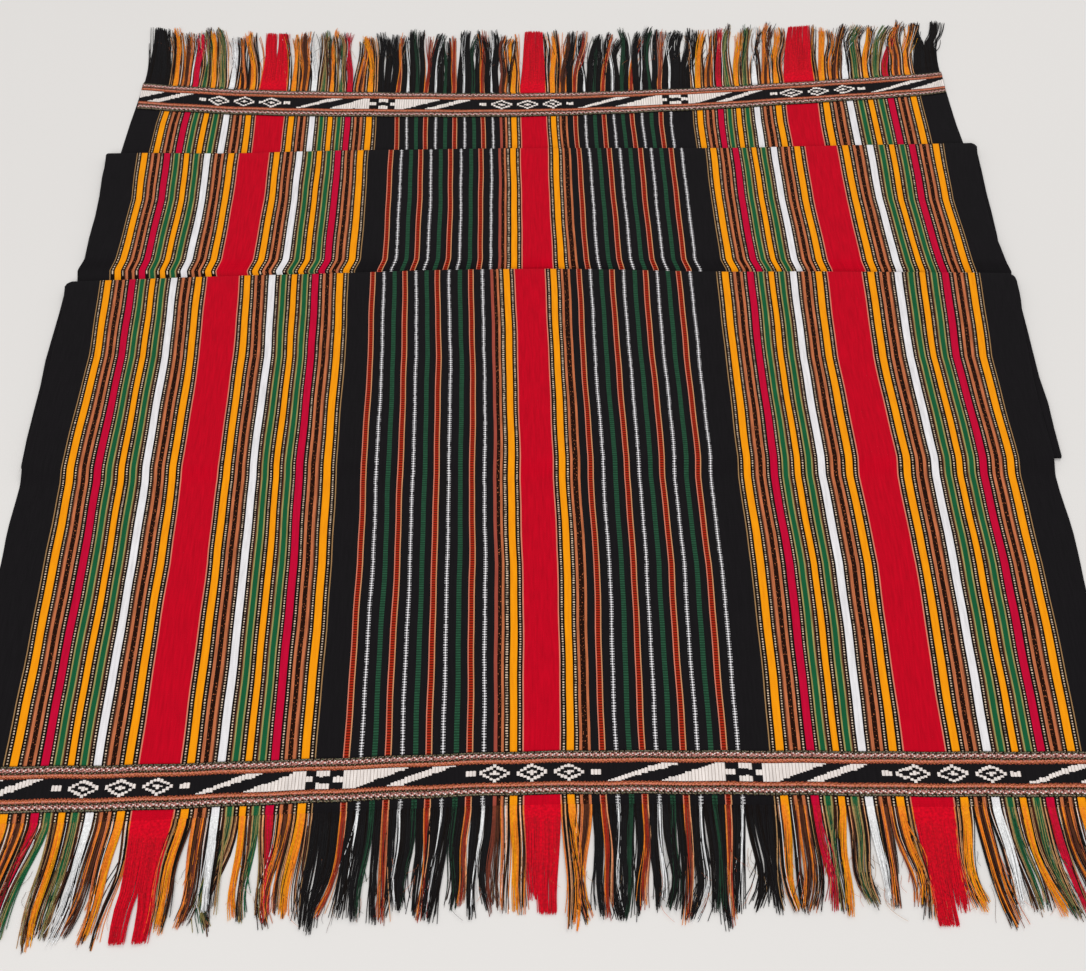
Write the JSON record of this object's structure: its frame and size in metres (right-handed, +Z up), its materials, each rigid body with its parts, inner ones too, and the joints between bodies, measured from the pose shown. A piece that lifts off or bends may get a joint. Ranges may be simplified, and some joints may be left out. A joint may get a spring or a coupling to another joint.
{
  "type": "striped woven wrapper cloth",
  "caption": "Hand-woven striped wrapper laid in two flat pleats, with a patterned band and a fringe at each end.",
  "frame": {"origin": "middle of the bounding box, on the surface that the cloth lies on", "axes": "+Z up, +Y along the stripes away from the viewer, +X across the stripes to the right"},
  "size_m": [1.1566, 1.302, 0.0085],
  "materials": {
    "striped_cotton": "matte",
    "band_weave": "matte",
    "warp_fringe": "matte"
  },
  "bodies": {
    "root": {"wrapper_cloth": "striped_cotton", "near_band": "band_weave", "far_band": "band_weave", "near_fringe": "warp_fringe", "far_fringe": "warp_fringe"}
  },
  "joints": []
}
